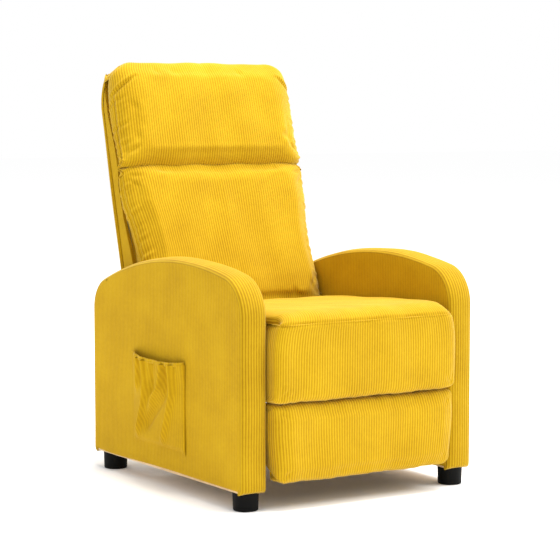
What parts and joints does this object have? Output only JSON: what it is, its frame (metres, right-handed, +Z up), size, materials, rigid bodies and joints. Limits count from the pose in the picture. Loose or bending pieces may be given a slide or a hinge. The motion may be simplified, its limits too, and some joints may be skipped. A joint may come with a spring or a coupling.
{
  "type": "push-back recliner armchair",
  "caption": "Compact push-back recliner armchair in corduroy with arched arms, round feet, a gliding seat, a leaning back, a fold-out legrest and a side pocket.",
  "frame": {"origin": "on the floor, under the middle of the overall box at rest (upright, legrest closed)", "axes": "+X to the sitter's left, -Y to the front, +Z up"},
  "size_m": [0.6605, 0.852, 1.0176],
  "materials": {
    "corduroy": "mustard yellow fine-wale corduroy, soft pile",
    "hem_tape": "gathered elastic hem in the same corduroy",
    "webbing": "woven elastic webbing",
    "plywood": "sawn plywood",
    "pine": "planed softwood",
    "foot_plastic": "black moulded plastic",
    "clip_plastic": "black nylon",
    "zinc_steel": "zinc plated",
    "mechanism_steel": "black powder-coated steel"
  },
  "bodies": {
    "base": {"arm_band_right": "corduroy", "arm_band_left": "corduroy", "arm_outer_panel_right": "corduroy", "arm_outer_panel_left": "corduroy", "arm_inner_panel_right": "corduroy", "arm_inner_panel_left": "corduroy", "arm_inner_board_right": "plywood", "arm_inner_board_left": "plywood", "arm_outer_board_right": "plywood", "arm_outer_board_left": "plywood", "arm_posts_right": "pine", "arm_posts_left": "pine", "arm_bottom_rail_right": "pine", "arm_bottom_rail_left": "pine", "feet": "foot_plastic", "foot_studs": "zinc_steel", "side_pocket": "corduroy", "pocket_elastic": "hem_tape", "front_base_rail": "pine", "rear_base_rail": "pine", "rail_bolts": "zinc_steel", "base_brackets": "mechanism_steel", "bracket_bolts": "zinc_steel", "rocker_base_pins": "zinc_steel"},
    "front_rocker": {"front_rockers": "mechanism_steel"},
    "rear_rocker": {"rear_rockers": "mechanism_steel"},
    "seat": {"seat_side_plates": "mechanism_steel", "seat_side_rails": "pine", "plate_bolts": "zinc_steel", "seat_front_rail": "pine", "seat_rear_rail": "pine", "seat_springs": "zinc_steel", "spring_clips": "clip_plastic", "seat_cushion": "corduroy", "seat_border": "corduroy", "seat_plate_pins": "zinc_steel"},
    "backrest": {"back_rear_cover": "corduroy", "back_side_covers": "corduroy", "lumbar_cushion": "corduroy", "head_pillow": "corduroy", "back_stiles": "pine", "back_lower_rail": "pine", "back_middle_rail": "pine", "back_top_rail": "pine", "back_straps": "webbing", "back_brackets": "mechanism_steel", "back_bolts": "zinc_steel"},
    "drive_link": {"drive_links": "mechanism_steel", "drive_tube": "mechanism_steel", "drive_link_pins": "zinc_steel"},
    "steady_link": {"steady_links": "mechanism_steel"},
    "carrier_link": {"carrier_links": "mechanism_steel", "carrier_link_pins": "zinc_steel"},
    "board_link": {"board_links": "mechanism_steel"},
    "legrest": {"legrest_board": "plywood", "legrest_pad": "corduroy", "legrest_brackets": "mechanism_steel", "legrest_pins": "zinc_steel"}
  },
  "joints": [
    {"name": "back_recline", "type": "hinge", "parent": "seat", "child": "backrest", "pos_m": [0, 0.21204, 0.3], "axis": [-1, 0, 0], "range_deg": [0, 38]},
    {"name": "front_rocker_swing", "type": "hinge", "parent": "base", "child": "front_rocker", "pos_m": [0, -0.15, 0.27], "axis": [-1, 0, 0], "range_deg": [0, 38]},
    {"name": "seat_glide", "type": "hinge", "parent": "front_rocker", "child": "seat", "pos_m": [0, -0.12671, 0.18307], "axis": [-1, 0, 0], "range_deg": [-38, 0]},
    {"name": "rear_rocker_swing", "type": "hinge", "parent": "base", "child": "rear_rocker", "pos_m": [0, 0.09, 0.27], "axis": [-1, 0, 0], "range_deg": [0, 38]},
    {"name": "legrest_open", "type": "hinge", "parent": "seat", "child": "drive_link", "pos_m": [0, -0.266, 0.245], "axis": [-1, 0, 0], "range_deg": [0, 95]},
    {"name": "steady_link_swing", "type": "hinge", "parent": "seat", "child": "steady_link", "pos_m": [0, -0.161, 0.252], "axis": [-1, 0, 0], "range_deg": [0, 95]},
    {"name": "carrier_swing", "type": "hinge", "parent": "drive_link", "child": "carrier_link", "pos_m": [0, -0.188, 0.14], "axis": [-1, 0, 0], "range_deg": [-95, 0]},
    {"name": "board_link_swing", "type": "hinge", "parent": "drive_link", "child": "board_link", "pos_m": [0, -0.176, 0.085], "axis": [-1, 0, 0], "range_deg": [-95, 0]},
    {"name": "legrest_turn", "type": "hinge", "parent": "carrier_link", "child": "legrest", "pos_m": [0, -0.332, 0.203], "axis": [-1, 0, 0], "range_deg": [0, 95]}
  ],
  "couplings": [
    {"joint": "front_rocker_swing", "follows": "back_recline", "ratio": 1},
    {"joint": "seat_glide", "follows": "back_recline", "ratio": -1},
    {"joint": "rear_rocker_swing", "follows": "back_recline", "ratio": 1},
    {"joint": "steady_link_swing", "follows": "legrest_open", "ratio": 1},
    {"joint": "carrier_swing", "follows": "legrest_open", "ratio": -1},
    {"joint": "board_link_swing", "follows": "legrest_open", "ratio": -1},
    {"joint": "legrest_turn", "follows": "legrest_open", "ratio": 1}
  ]
}
